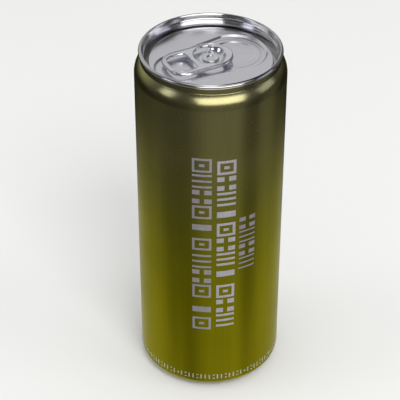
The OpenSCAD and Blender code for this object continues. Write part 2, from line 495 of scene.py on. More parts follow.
class WornMetal:
    """A new material with the shared grain and wear placed in it, ready for its colour and gloss."""

    def __init__(self, name: str, effects: Effects, grain: tuple[float, float, float],
                 wear: tuple[float, float, float]) -> None:
        """Makes the material.

        Args:
            name: name of the material.
            effects: the shared shader groups.
            grain: scale along the grain, scale across it, and 1 where it runs upright.
            wear: scales of the smudges, the specks and the scratches.
        """
        self.material, self.sheet, self.shader = new_material(name)
        self.grain = self.sheet.group(effects.grain, Along=grain[0], Across=grain[1], Upright=grain[2])
        self.wear = self.sheet.group(effects.handling, Smudge_Scale=wear[0], Speck_Scale=wear[1],
                                     Scratch_Scale=wear[2])
        self.parts = self.sheet.add("SeparateXYZ", Vector=self.sheet.here())

    def tone(self, dull: Colour, bright: Colour) -> bpy.types.NodeSocket:
        """A colour that follows the grain from dull to bright."""
        return self.sheet.blend(self.grain.outputs["Tone"], (*dull, 1.0), (*bright, 1.0))

    def dusted(self, colour: object, share: float, dust: Colour) -> bpy.types.NodeSocket:
        """The colour with specks of dust."""
        return self.sheet.blend(self.sheet.times(self.wear.outputs["Specks"], share), colour, (*dust, 1.0))

    def gloss(self, roughness: object, smudged: float, dusty: float) -> bpy.types.NodeSocket:
        """Roughness raised by smudges and by specks."""
        rough = self.sheet.plus(roughness, self.sheet.times(self.wear.outputs["Smudge"], smudged))
        return self.sheet.plus(rough, self.sheet.times(self.wear.outputs["Specks"], dusty), clamp=True)

    def close(self, colour: object, gloss: object, metallic: float, scratch: float,
              bump: float) -> bpy.types.Material:
        """Feeds the shader.

        Args:
            colour: base colour.
            gloss: roughness.
            metallic: how much of it is bare metal.
            scratch: depth of the scratches against the grain.
            bump: strength of the grain's bump.

        Returns:
            The material.
        """
        height = self.sheet.plus(self.grain.outputs["Height"],
                                 self.sheet.times(self.wear.outputs["Scratches"], -scratch))
        raised = self.sheet.add("Bump", Height=height, Strength=bump, Distance=0.0001)
        self.sheet.link(self.shader, Base_Color=colour, Roughness=gloss, Metallic=metallic,
                        Normal=raised.outputs[0])
        return self.material


@dataclass(frozen=True)
class PrintedWallFinish:
    """Satin metallic print over drawn aluminium, darkening and greying towards the shoulder."""

    name: str = "metallic_print"
    height: float = 0.135
    roughness: float = 0.22
    bare_radius: float = 0.0229
    bare_height: float = 0.012
    tones: tuple[tuple[float, Colour], ...] = (
        (0.00, (0.340, 0.305, 0.004)),
        (0.30, (0.330, 0.300, 0.005)),
        (0.44, (0.325, 0.300, 0.010)),
        (0.56, (0.325, 0.300, 0.026)),
        (0.68, (0.330, 0.305, 0.060)),
        (0.80, (0.350, 0.325, 0.105)),
        (0.91, (0.375, 0.350, 0.135)),
        (1.00, (0.400, 0.375, 0.190)),
    )

    def make(self, effects: Effects) -> bpy.types.Material:
        """Builds the material.

        Args:
            effects: the shared shader groups.

        Returns:
            The material.
        """
        metal = WornMetal(self.name, effects, (18.0, 1500.0, 1.0), (34.0, 800.0, 120.0))
        sheet, upright = metal.sheet, metal.parts.outputs["Z"]
        level = sheet.add("MapRange", Value=upright, From_Max=self.height)
        ramp = sheet.add("ValToRGB", Fac=level.outputs["Result"])
        ramp.color_ramp.interpolation = "EASE"
        marks = ramp.color_ramp.elements
        for mark, (position, colour) in zip(marks, (self.tones[0], self.tones[-1])):
            mark.position, mark.color = position, (*colour, 1.0)
        for position, colour in self.tones[1:-1]:
            marks.new(position).color = (*colour, 1.0)
        lines = sheet.step(metal.grain.outputs["Tone"], 0.0, 1.0, 0.95, 1.0)
        printed = sheet.blend(1.0, ramp.outputs["Color"], lines, "MULTIPLY")
        near, far = self.bare_radius - 0.0003, self.bare_radius + 0.0003
        inside = sheet.step(sheet.off_axis(metal.parts), near, far, 1.0, 0.0)
        low = sheet.step(upright, self.bare_height, self.bare_height + 0.001, 1.0, 0.0)
        bare = sheet.times(inside, low, clamp=True)
        clean = sheet.blend(bare, printed, metal.tone((0.62, 0.62, 0.64), (0.74, 0.74, 0.76)))
        metal.shader.inputs["Specular Tint"].default_value = (0.90, 0.88, 0.60, 1.0)
        gloss = sheet.plus(metal.gloss(self.roughness, 0.05, 0.2), sheet.times(bare, 0.12), clamp=True)
        return metal.close(metal.dusted(clean, 0.15, (0.55, 0.54, 0.50)), gloss, 1.0, 0.5, 0.06)


@dataclass(frozen=True)
class RolledAluminiumFinish:
    """Bright rolled aluminium sheet, with painted shade on its rim: outside the satin radius the rim colour
    darkens and warms the sheet.
    """

    name: str
    bright: Colour
    dull: Colour
    roughness: float
    along: float = 24.0
    across: float = 2400.0
    bump: float = 0.08
    satin: float = 0.0
    satin_radius: float = 0.0214
    # multiplied into the colour outside the satin radius; where darker than white it is painted shade, not
    # the metal's own colour
    rim: Colour = (1.0, 1.0, 1.0)

    def make(self, effects: Effects) -> bpy.types.Material:
        """Builds the material.

        Args:
            effects: the shared shader groups.

        Returns:
            The material.
        """
        metal = WornMetal(self.name, effects, (self.along, self.across, 0.0), (90.0, 1500.0, 420.0))
        sheet = metal.sheet
        worn = metal.dusted(metal.tone(self.dull, self.bright), 0.3, (0.42, 0.42, 0.41))
        radius = sheet.off_axis(metal.parts)
        # painted shade: outside the satin radius the sheet's colour is multiplied by the rim colour, a
        # darker, warmer copy that dims the reflections of the seam, chuck wall and groove
        shaded_rim_mask = sheet.step(radius, self.satin_radius, self.satin_radius + 0.0006)
        colour = sheet.blend(shaded_rim_mask, worn, sheet.blend(1.0, worn, (*self.rim, 1.0), "MULTIPLY"))
        flat = sheet.step(radius, self.satin_radius - 0.0003, self.satin_radius + 0.0001, self.satin, 0.0)
        gloss = metal.gloss(sheet.plus(self.roughness, flat), 0.05, 0.2)
        return metal.close(colour, gloss, 1.0, 0.6, self.bump)


@dataclass(frozen=True)
class InkFinish:
    """Pale metallic ink laid over the print."""

    name: str
    tone: Colour
    roughness: float = 0.34
    thin: float = 0.86

    def make(self, effects: Effects) -> bpy.types.Material:
        """Builds the material.

        Args:
            effects: the shared shader groups.

        Returns:
            The material.
        """
        metal = WornMetal(self.name, effects, (40.0, 1800.0, 1.0), (60.0, 1100.0, 200.0))
        colour = metal.tone(tuple(self.thin * c for c in self.tone), self.tone)
        return metal.close(colour, metal.gloss(self.roughness, 0.08, 0.0), 0.75, 0.0, 0.05)


# ---------------------------------------------------------------- the can

@dataclass
class CanWall:
    """Wall, shoulder, neck, heel, stand ring and base dome, in millimetres."""

    height: float
    body_radius: float
    neck_inset: float = 2.2
    neck_fillet: float = 0.35
    neck_foot: float = 3.55
    neck_ring: float = 0.7
    shoulder_radius: float = 8.0
    wall_margin: float = 0.3
    seam_foot: float = 1.3
    plug_gap: float = 0.2
    plug_depth: float = 6.9
    heel_radius: float = 2.0
    heel_height: float = 4.4
    stand_radius: float = 22.5
    dome_radius: float = 20.3
    dome_foot: float = 2.0
    dome_rise: float = 7.0
    stand: tuple[Point, ...] = ((20.42, 1.75), (20.7, 1.3), (21.05, 0.75), (21.3, 0.32), (21.55, 0.09),
                                (21.8, 0.0), (22.05, 0.0), (22.28, 0.03), (22.52, 0.16), (22.72, 0.35))
    segments: int = 224

    def base(self) -> list[Point]:
        """Half section from the dome's crown round the stand ring and up the heel.

        Returns:
            Radius and height of each point.
        """
        ball = (self.dome_radius ** 2 + self.dome_rise ** 2) / (2 * self.dome_rise)
        centre = self.dome_foot + self.dome_rise - ball
        rim = math.degrees(math.acos(self.dome_radius / ball))
        dome = arc(0.0, centre, ball, 90.0, rim, 26)
        dome[0] = (0.0, dome[0][1])
        heel_x = self.body_radius - self.heel_radius
        run = heel_x - self.stand_radius
        reach = math.hypot(run, self.heel_height)
        lean = 90.0 - math.degrees(math.atan2(self.heel_height, run) - math.asin(self.heel_radius / reach))
        heel = arc(heel_x, self.heel_height, self.heel_radius, -lean, 0.0, 14)
        return [*dome, *self.stand, *between(self.stand[-1], heel[0], (0.25, 0.5, 0.75, 0.93)), *heel]

    def section(self) -> list[Point]:
        """Half section from the dome's crown round to the floor of the neck.

        Returns:
            Radius and height of each point.
        """
        neck = self.body_radius - self.neck_inset
        fillet_x, fillet_z = neck + self.neck_fillet, self.height - self.neck_foot
        shoulder_x = self.body_radius - self.shoulder_radius
        arm = self.shoulder_radius + self.neck_fillet
        shoulder_z = fillet_z - math.sqrt(arm ** 2 - (fillet_x - shoulder_x) ** 2)
        tilt = math.degrees(math.atan2(fillet_z - shoulder_z, fillet_x - shoulder_x))
        shoulder = arc(shoulder_x, shoulder_z, self.shoulder_radius, 0.0, tilt, 24)
        hollow = arc(fillet_x, fillet_z, self.neck_fillet, 180.0 + tilt, 180.0, 8)[1:]
        foot, head = self.heel_height + self.wall_margin, shoulder_z - self.wall_margin
        wall = between((self.body_radius, foot), (self.body_radius, head), np.linspace(0.0, 1.0, 30))
        top, floor, plug = self.height - self.seam_foot, self.height - self.plug_depth, neck - self.plug_gap
        return [*self.base(), *wall, *shoulder, *hollow, (neck, top - self.neck_ring), (neck, top),
                (plug, top), (plug, floor), (0.0, floor)]

    def build(self, effects: Effects) -> bpy.types.Object:
        """Builds and dresses the wall.

        Args:
            effects: the shared shader groups.

        Returns:
            The piece.
        """
        shell = Shell()
        shell.revolve(self.section(), self.segments)
        finish = PrintedWallFinish(height=self.height * MM).make(effects)
        return shell.build("wall_and_base", finish, "printed_wall", "can_body")


@dataclass
class CanEnd:
    """Seam, chuck wall, groove, panel with its sunk field, and the rivet, in millimetres.

    The crown is measured in from the seam and down from the top, the bend out from the bore and down from
    the top, and the rivet out from its axis and up from the sunk field.
    """

    height: float
    turn: float
    neck_radius: float = 24.3
    seam_radius: float = 24.85
    seam_thickness: float = 1.7
    seam_height: float = 1.3
    seam_gap: float = 0.02
    lip_radius: float = 0.3
    plug_gap: float = 0.2
    plug_depth: float = 6.9
    panel_depth: float = 4.3
    groove_depth: float = 6.5
    groove_outer: float = 22.7
    panel_radius: float = 21.6
    panel_round: float = 0.55
    panel_margin: float = 0.12
    field_depth: float = 0.55
    field_radius: float = 11.6
    field_tail: float = 8.6
    field_inset: float = 1.1
    pan_radius: float = 7.9
    pan_depth: float = 0.3
    score_offset: float = 1.75
    score_depth: float = 0.05
    score_width: float = 0.34
    crown: tuple[Point, ...] = (
        (0.0, 0.9), (0.01, 0.72), (0.06, 0.56), (0.16, 0.41), (0.30, 0.28), (0.46, 0.17), (0.62, 0.09),
        (0.76, 0.03), (0.88, 0.0), (0.99, 0.02), (1.09, 0.08), (1.16, 0.18), (1.22, 0.34), (1.30, 0.60),
        (1.39, 0.90), (1.48, 1.20))
    bend: tuple[Point, ...] = ((0.14, 1.5), (0.09, 1.72), (0.02, 1.90), (-0.07, 2.02), (-0.17, 2.12),
                               (-0.24, 2.24), (-0.28, 2.42), (-0.30, 2.65), (-0.33, 2.95))
    rivet: tuple[Point, ...] = (
        (0.0, -0.35), (1.9, -0.35), (1.9, 0.49), (2.75, 0.50), (2.93, 0.58), (3.0, 0.74), (2.95, 0.91),
        (2.80, 1.02), (2.55, 1.08), (2.1, 1.10), (1.75, 1.10), (1.5, 1.07), (1.32, 0.98), (1.18, 0.86),
        (1.0, 0.78), (0.7, 0.735), (0.35, 0.72), (0.0, 0.715))
    segments: int = 384

    def field_outline(self, inset: float) -> list[Point]:
        """Outline of the sunk field: a round nose and a smaller round tail, joined by straight sides.

        Args:
            inset: how far it is drawn in.

        Returns:
            Its points, with the tab's axis along the first coordinate.
        """
        big, small = self.field_radius, self.field_tail
        x_big = self.panel_radius - self.field_inset - big
        x_small = -(self.panel_radius - self.field_inset - small)
        lean = math.degrees(math.acos((big - small) / (x_big - x_small)))
        nose = arc(x_big, 0.0, big - inset, -lean, lean, 120)
        tail = arc(x_small, 0.0, small - inset, lean, 360.0 - lean, 90)
        side = between(nose[-1], tail[0], np.linspace(0.0, 1.0, 26)[1:-1])
        return [*nose, *side, *tail, *((x, -y) for x, y in side[::-1])]

    def pan_circle(self, inset: float) -> list[Point]:
        """Outline of the round pan drawn in by that much."""
        return circle(self.panel_radius - self.field_inset - self.field_radius, self.pan_radius - inset, 168)

    def edge_circle(self, inset: float) -> list[Point]:
        """Outline of the panel's flat drawn in by that much."""
        return circle(0.0, self.panel_radius - self.panel_round - inset, self.segments)

    def press(self, shell: Shell) -> None:
        """Adds the panel with its sunk field, the scored line and the round pan.

        Args:
            shell: the shell that gets them.
        """
        panel = self.height - self.panel_depth
        floor, w = panel - self.field_depth, self.score_width
        groove = ((-w, 0.0), (-0.5 * w, 0.0), (-0.25 * w, self.score_depth), (0.25 * w, self.score_depth),
                  (0.5 * w, 0.0), (w, 0.0))
        edge = loft(self.edge_circle, [(0.0, panel), (self.panel_margin, panel)])
        walls = loft(self.field_outline, [(d, panel - z) for d, z in pressed(self.field_depth)])
        score = loft(self.pan_circle, [(d - self.score_offset, floor - z) for d, z in groove])
        pan = loft(self.pan_circle, [(d, floor - z) for d, z in pressed(self.pan_depth)])
        for rings in (edge, walls, pan, score):
            shell.band(rings)
        shell.fill([edge[-1], walls[0]], panel)
        shell.fill([walls[-1], score[0]], floor)
        shell.fill([score[-1], pan[0]], floor)
        shell.fill([pan[-1]], floor - self.pan_depth)

    def rim_section(self) -> list[Point]:
        """Half section of the seam, the chuck wall, the groove and the panel's edge.

        Returns:
            Radius and height of each point, from the middle of the underside to the panel.
        """
        top, out = self.height, self.seam_radius
        foot, floor = top - self.seam_height + self.seam_gap, top - self.plug_depth
        plug, bore = self.neck_radius - self.plug_gap, out - self.seam_thickness
        panel, groove = top - self.panel_depth, top - self.groove_depth
        under = [(0.0, floor), (plug, floor), (plug, foot), (out - 1.5 * self.lip_radius, foot)]
        lip = arc(out - self.lip_radius, foot + self.lip_radius, self.lip_radius, -80.0, 0.0, 6)
        crown = [(out - x, top - z) for x, z in self.crown]
        bend = [(bore + x, top - z) for x, z in self.bend]
        wall = between(bend[-1], (self.groove_outer + 0.02, groove + 0.75), (0.3, 0.6, 0.9, 1.0))
        mid = (self.groove_outer + self.panel_radius) / 2
        radius = (self.groove_outer - self.panel_radius) / 2
        trough = arc(mid, groove + radius, radius, 0.0, -180.0, 12)[1:]
        r = self.panel_round
        rise = [(self.panel_radius, groove + radius + 0.2), (self.panel_radius, panel - r - 0.2)]
        return under + lip + crown + bend + wall + trough + rise \
            + arc(self.panel_radius - r, panel - r, r, 0.0, 90.0, 8)

    def build(self, effects: Effects) -> list[bpy.types.Object]:
        """Builds and dresses the end and its rivet.

        Args:
            effects: the shared shader groups.

        Returns:
            The two pieces.
        """
        end, stud = Shell(), Shell()
        end.revolve(self.rim_section(), self.segments)
        self.press(end)
        base = self.height - self.panel_depth - self.field_depth
        stud.revolve([(r, base + z) for r, z in self.rivet], ROUND_STEPS)
        # the end sheet's rim colour is painted shade: the seam, chuck wall and groove get a darker, warmer
        # tone than the panel
        sheet = RolledAluminiumFinish("bright_end_sheet", (0.82, 0.82, 0.855), (0.79, 0.79, 0.825), 0.13,
                                      bump=0.03, satin=0.07, rim=(0.80, 0.79, 0.74)).make(effects)
        metal = RolledAluminiumFinish("rivet_metal", (0.84, 0.84, 0.86), (0.80, 0.80, 0.82), 0.15,
                                      bump=0.03).make(effects)
        return [end.build("end_and_seam", sheet, "end_metal", "can_end", turn=self.turn),
                stud.build("rivet", metal, "end_metal", turn=self.turn)]


@dataclass
class PullTab:
    """Pull tab: rolled edge, flat web, finger hole, round window and tongue, in millimetres.

    The disc is measured out from the tongue's edge, or from the axis inside it, and up from its underside.
    """

    floor: float
    turn: float
    nose: float = 7.8
    reach: float = 17.2
    corner: float = 5.8
    roll: float = 0.75
    hole_roll: float = 0.48
    lip_roll: float = 0.42
    lip_lift: float = 0.06
    gap: float = 0.8
    web_gauge: float = 0.40
    web_drop: float = 0.13
    window: float = 6.0
    window_steps: int = 160
    tongue: float = 4.2
    tongue_gauge: float = 0.36
    tongue_rest: float = 0.43
    tongue_reach: float = 66.0
    tongue_blend: float = 16.0
    disc_gap: float = 0.02
    disc_bore: float = 2.0
    hole_left: float = -15.45
    hole_right: float = -7.35
    hole_half: float = 5.3
    hole_outer: float = 3.4
    hole_inner: float = 2.4

    @property
    def top(self) -> float:
        """Height of the top of the rolled edge."""
        return self.floor + self.gap + 2 * self.roll

    @property
    def web(self) -> float:
        """Height of the top of the flat web."""
        return self.top - self.web_drop

    def outline(self, inset: float) -> list[Point]:
        """The tab's outline: a round nose, straight sides and a square tail with round corners.

        Args:
            inset: how far it is drawn in.

        Returns:
            Its points, with the nose along the first coordinate.
        """
        r, c = self.nose - inset, self.corner - inset
        x, y = -(self.reach - self.corner), self.nose - self.corner
        side, tail = np.linspace(0.0, 1.0, 16)[1:-1], np.linspace(0.0, 1.0, 7)[1:-1]
        return [*arc(0.0, 0.0, r, -90.0, 90.0, 60), *between((0.0, r), (x, r), side),
                *arc(x, y, c, 90.0, 180.0, 24), *between((x - c, y), (x - c, -y), tail),
                *arc(x, -y, c, 180.0, 270.0, 24), *between((x, -r), (0.0, -r), side)]

    def hole(self, outset: float) -> list[Point]:
        """The finger hole's edge.

        Args:
            outset: how far it is drawn out.

        Returns:
            Its points.
        """
        a, b, half = self.hole_outer, self.hole_inner, self.hole_half
        left, right = self.hole_left + a, self.hole_right - b
        return [*arc(right, half - b, b + outset, 0.0, 90.0, 16),
                *arc(left, half - a, a + outset, 90.0, 180.0, 20),
                *arc(left, a - half, a + outset, 180.0, 270.0, 20),
                *arc(right, b - half, b + outset, 270.0, 360.0, 16)]

    def edge_path(self) -> list[Point]:
        """Section of the rolled edge, from the web's top round to its underside.

        Returns:
            Distance in from the outline, and height.
        """
        top, web, r = self.top, self.web, self.roll
        m = top - r
        return [(1.07, web), (1.0, web + 0.03), (0.93, top - 0.045), (0.86, top - 0.01),
                *arc(r, m, r, 90.0, 270.0, 18),
                (0.98, m - r + 0.12), (1.12, m - r + 0.36), (1.14, m - 0.1), (1.07, web - self.web_gauge)]

    def hole_path(self) -> list[Point]:
        """Section of the finger hole's rolled edge, from the web's top round to its underside.

        Returns:
            Distance out from the hole, and height.
        """
        web, r = self.web, self.hole_roll
        m = web - r + self.lip_lift
        return [(0.62, web), (0.57, web + 0.02), (0.52, web + 0.05), *arc(r, m, r, 90.0, 255.0, 13),
                (0.55, m - r + 0.12), (0.66, m - 0.22), (0.62, web - self.web_gauge)]

    def lip_path(self) -> list[Point]:
        """Section of the window's rolled lip, from the web's top round to its underside.

        Returns:
            Distance out from the window, and height.
        """
        web, r = self.web, self.lip_roll
        m = web - r + self.lip_lift
        return [(0.62, web), (0.57, web + 0.015), (0.50, web + 0.045), *arc(r, m, r, 90.0, 270.0, 16),
                (0.55, m - r + 0.08), (0.64, m - 0.2), (0.62, web - self.web_gauge)]

    def slope_path(self) -> list[Point]:
        """Section of the tongue where it runs down to the rivet.

        Returns:
            Distance out from the window, and height, for as many points as the lip has.
        """
        web = self.web
        run, fall = self.window - self.tongue + 0.1, web - self.floor - self.tongue_rest
        upper = [(0.62, web), (0.34, web), (0.10, web)]
        upper += [(0.02 - run * (0.16 + 0.84 * s), web - fall * s * s * (3 - 2 * s))
                  for s in (k / 10 for k in range(1, 11))]
        lower = [(e + 0.10, z - self.tongue_gauge) for e, z in upper[:0:-1]]
        path = [*upper, *lower[::2], (0.62, web - self.web_gauge)]
        while len(path) < len(self.lip_path()):
            path[-1:] = between(path[-2], path[-1], (0.5, 1.0))
        return path

    def window_rings(self) -> np.ndarray:
        """Rings of the window's edge, which turns into the tongue's slope on the nose side.

        Returns:
            Rings by points by three coordinates.
        """
        angles = np.linspace(-180.0, 180.0, self.window_steps, endpoint=False)
        sloped = 1.0 - ease((np.abs(angles) - self.tongue_reach) / self.tongue_blend + 0.5)
        across, along = np.cos(np.radians(angles)), np.sin(np.radians(angles))
        rings = []
        for (e0, z0), (e1, z1) in zip(self.lip_path(), self.slope_path()):
            radius = self.window + e0 + (e1 - e0) * sloped
            rings.append(np.stack([radius * across, radius * along, z0 + (z1 - z0) * sloped], axis=1))
        return np.array(rings)

    def disc_section(self) -> list[Point]:
        """Closed section of the tongue's disc round the rivet.

        Returns:
            Radius and height of each point.
        """
        bore, edge = self.disc_bore, self.tongue
        ring = ((bore, 0.0), (edge - 0.2, 0.0), (edge - 0.05, 0.07), (edge, 0.2), (edge - 0.05, 0.36),
                (edge - 0.16, 0.44), (edge - 0.36, 0.46), (edge - 0.62, 0.43), (edge - 0.9, 0.41),
                (bore + 0.6, 0.41), (bore, 0.41), (bore, 0.0))
        return [(r, self.floor + self.disc_gap + z) for r, z in ring]

    def build(self, effects: Effects) -> bpy.types.Object:
        """Builds and dresses the tab.

        Args:
            effects: the shared shader groups.

        Returns:
            The piece.
        """
        shell = Shell()
        skins = loft(self.outline, self.edge_path()), loft(self.hole, self.hole_path()), self.window_rings()
        for rings in skins:
            shell.band(rings)
        for k, height in ((0, self.web), (-1, self.web - self.web_gauge)):
            shell.fill([rings[k] for rings in skins], height)
        shell.revolve(self.disc_section(), ROUND_STEPS)
        finish = RolledAluminiumFinish("bright_tab_sheet", (0.86, 0.86, 0.89), (0.82, 0.82, 0.85), 0.16,
                                       along=40.0, across=2000.0, bump=0.03).make(effects)
        return shell.build("pull_tab_sheet", finish, "tab_metal", "pull_tab", turn=self.turn)


class Mark(Enum):
    """The plain shapes that the wall's print is made of."""

    TARGET = "frame round a block"
    BARS = "three bars"
    BAND = "one broad bar"
    CHECK = "four blocks"


@dataclass(frozen=True)
class Column:
    """An upright column of plain marks: its runs give the low side, the high side and how many marks."""

    name: str
    left: float
    width: float
    runs: tuple[tuple[float, float, int], ...]
    stroke: float
    tone: Colour
    marks: tuple[Mark, ...]


@dataclass
class WallPrint:
    """Plain marks printed on the wall: three upright columns and a ring of dashes, in millimetres."""

    radius: float
    wall_radius: float
    sunk: float = 0.05
    chord: float = 0.7
    gap: float = 0.95
    ring_height: float = 6.3
    dash_height: float = 2.1
    dash_pitch: float = 1.55
    dash_width: float = 0.8
    dash_bit: float = 0.45
    dot_half: float = 0.38
    word: int = 9
    # The columns' tones hold painted light on one pale metallic ink: the middle column is paler as a painted
    # reflection, the left and right columns darker as painted shade.
    columns: tuple[Column, ...] = (
        Column("ink_column_left", -6.5, 6.85,
               ((74.9, 107.1, 5), (67.6, 72.9, 1), (45.7, 65.5, 3), (30.4, 42.9, 2)),
               0.85, (0.50, 0.47, 0.50), (Mark.TARGET, Mark.BARS, Mark.CHECK, Mark.TARGET, Mark.BAND)),
        Column("ink_column_middle", 2.2, 6.7, ((53.8, 106.0, 8), (31.6, 51.4, 3)),
               1.0, (0.66, 0.63, 0.66), (Mark.TARGET, Mark.CHECK, Mark.BARS, Mark.BAND)),
        Column("ink_column_right", 10.4, 6.4, ((57.5, 80.5, 4),),
               0.62, (0.46, 0.43, 0.50), (Mark.CHECK, Mark.BARS)),
    )

    def patch(self, shell: Shell, left: float, right: float, low: float, high: float) -> None:
        """Adds one closed patch of ink that follows the wall.

        Args:
            shell: the shell that gets it.
            left: left side, measured round the wall from the front.
            right: right side.
            low: lower side.
            high: upper side.
        """
        steps = max(1, math.ceil((right - left) / self.chord))
        angles = np.linspace(left, right, steps + 1) / self.wall_radius
        inner = self.wall_radius - self.sunk
        rows = [np.stack([radius * np.sin(angles), -radius * np.cos(angles), np.full(steps + 1, z)], axis=1)
                for radius, z in ((self.radius, low), (self.radius, high), (inner, high), (inner, low))]
        n = steps + 1
        faces: list[tuple[int, ...]] = [
            (0, n, 2 * n, 3 * n), (steps, 3 * n + steps, 2 * n + steps, n + steps)]
        for a, b in ((0, n), (n, 2 * n), (2 * n, 3 * n), (3 * n, 0)):
            faces += [(a + i, a + i + 1, b + i + 1, b + i) for i in range(steps)]
        shell.add(np.concatenate(rows), faces)

    def mark(self, shell: Shell, kind: Mark, box: tuple[float, float, float, float], stroke: float) -> None:
        """Adds one mark.

        Args:
            shell: the shell that gets it.
            kind: which plain shape.
            box: left, right, low and high sides.
            stroke: width of its strokes.
        """
        left, right, low, high = box
        wide, tall = right - left, high - low
        if kind is Mark.TARGET:
            self.patch(shell, left, right, low, low + stroke)
            self.patch(shell, left, right, high - stroke, high)
            self.patch(shell, left, left + stroke, low + stroke, high - stroke)
            self.patch(shell, right - stroke, right, low + stroke, high - stroke)
            self.patch(shell, left + 0.36 * wide, right - 0.36 * wide, low + 0.40 * tall, high - 0.40 * tall)
        elif kind is Mark.BARS:
            for at in (low, low + (tall - stroke) / 2, high - stroke):
                self.patch(shell, left, right, at, at + stroke)
        elif kind is Mark.BAND:
            self.patch(shell, left, right, low + 0.28 * tall, high - 0.28 * tall)
        else:
            for near, far in ((left, left + 0.38 * wide), (right - 0.38 * wide, right)):
                self.patch(shell, near, far, low, low + 0.34 * tall)
                self.patch(shell, near, far, high - 0.34 * tall, high)

    def column(self, column: Column) -> Shell:
        """Draws one column, from the top of each run down.

        Args:
            column: its sizes and marks.

        Returns:
            Its patches.
        """
        shell = Shell()
        order = 0
        for low, high, cells in column.runs:
            pitch = (high - low + self.gap) / cells
            for k in range(cells):
                top = high - k * pitch
                box = (column.left, column.left + column.width, top - pitch + self.gap, top)
                self.mark(shell, column.marks[order % len(column.marks)], box, column.stroke)
                order += 1
        return shell

    def ring(self) -> Shell:
        """Draws the ring of dashes near the heel, with a dot after each word.

        Returns:
            Its patches.
        """
        shell = Shell()
        around = 2 * math.pi * self.wall_radius
        count = round(around / self.dash_pitch)
        half, dot = self.dash_width / 2, self.dot_half
        low, high = self.ring_height - self.dash_height / 2, self.ring_height + self.dash_height / 2
        for k in range(count):
            middle, order = k * around / count, k % (self.word + 1)
            if order == self.word:
                self.patch(shell, middle - dot, middle + dot, self.ring_height - dot, self.ring_height + dot)
            elif order % 3 == 1:
                self.patch(shell, middle - half, middle + half, low, low + self.dash_bit)
                self.patch(shell, middle - half, middle + half, high - self.dash_bit, high)
            else:
                self.patch(shell, middle - half, middle + half * 0.2, low, high)
        return shell

    def build(self, effects: Effects) -> list[bpy.types.Object]:
        """Builds and dresses the print.

        Args:
            effects: the shared shader groups.

        Returns:
            Its pieces.
        """
        # each column's tone, painted light included, becomes its ink's colour
        parts = [(c.name, self.column(c), InkFinish(c.name + "_ink", c.tone)) for c in self.columns]
        parts.append(("ink_ring", self.ring(), InkFinish("ring_ink", (0.74, 0.73, 0.68), 0.40)))
        return [shell.build(name, ink.make(effects), "printed_wall", smooth=False)
                for name, shell, ink in parts]


# ---------------------------------------------------------------- the studio

@dataclass(frozen=True)
class SoftBox:
    """A soft studio light aimed at the can; angles in degrees, sizes and distance in metres."""

    name: str
    azimuth: float
    elevation: float
    distance: float
    width: float
    height: float
    radiance: float
    tint: Colour = (1.0, 1.0, 1.0)
    for_floor: bool = False

    def build(self, target: Vector) -> bpy.types.Object:
        """Hangs the light.

        Args:
            target: the point that it faces.

        Returns:
            The light.
        """
        az, el = math.radians(self.azimuth), math.radians(self.elevation)
        way = Vector((math.sin(az) * math.cos(el), -math.cos(az) * math.cos(el), math.sin(el)))
        data = bpy.data.lights.new(self.name, "AREA")
        data.shape = "RECTANGLE"
        data.size, data.size_y = self.width, self.height
        data.color = self.tint
        data.energy = self.radiance * math.pi * self.width * self.height
        obj = add_object(self.name, data)
        obj.location = target + self.distance * way
        obj.rotation_euler = way.to_track_quat("Z", "Y").to_euler()
        obj.visible_diffuse, obj.visible_glossy = self.for_floor, not self.for_floor
        return obj


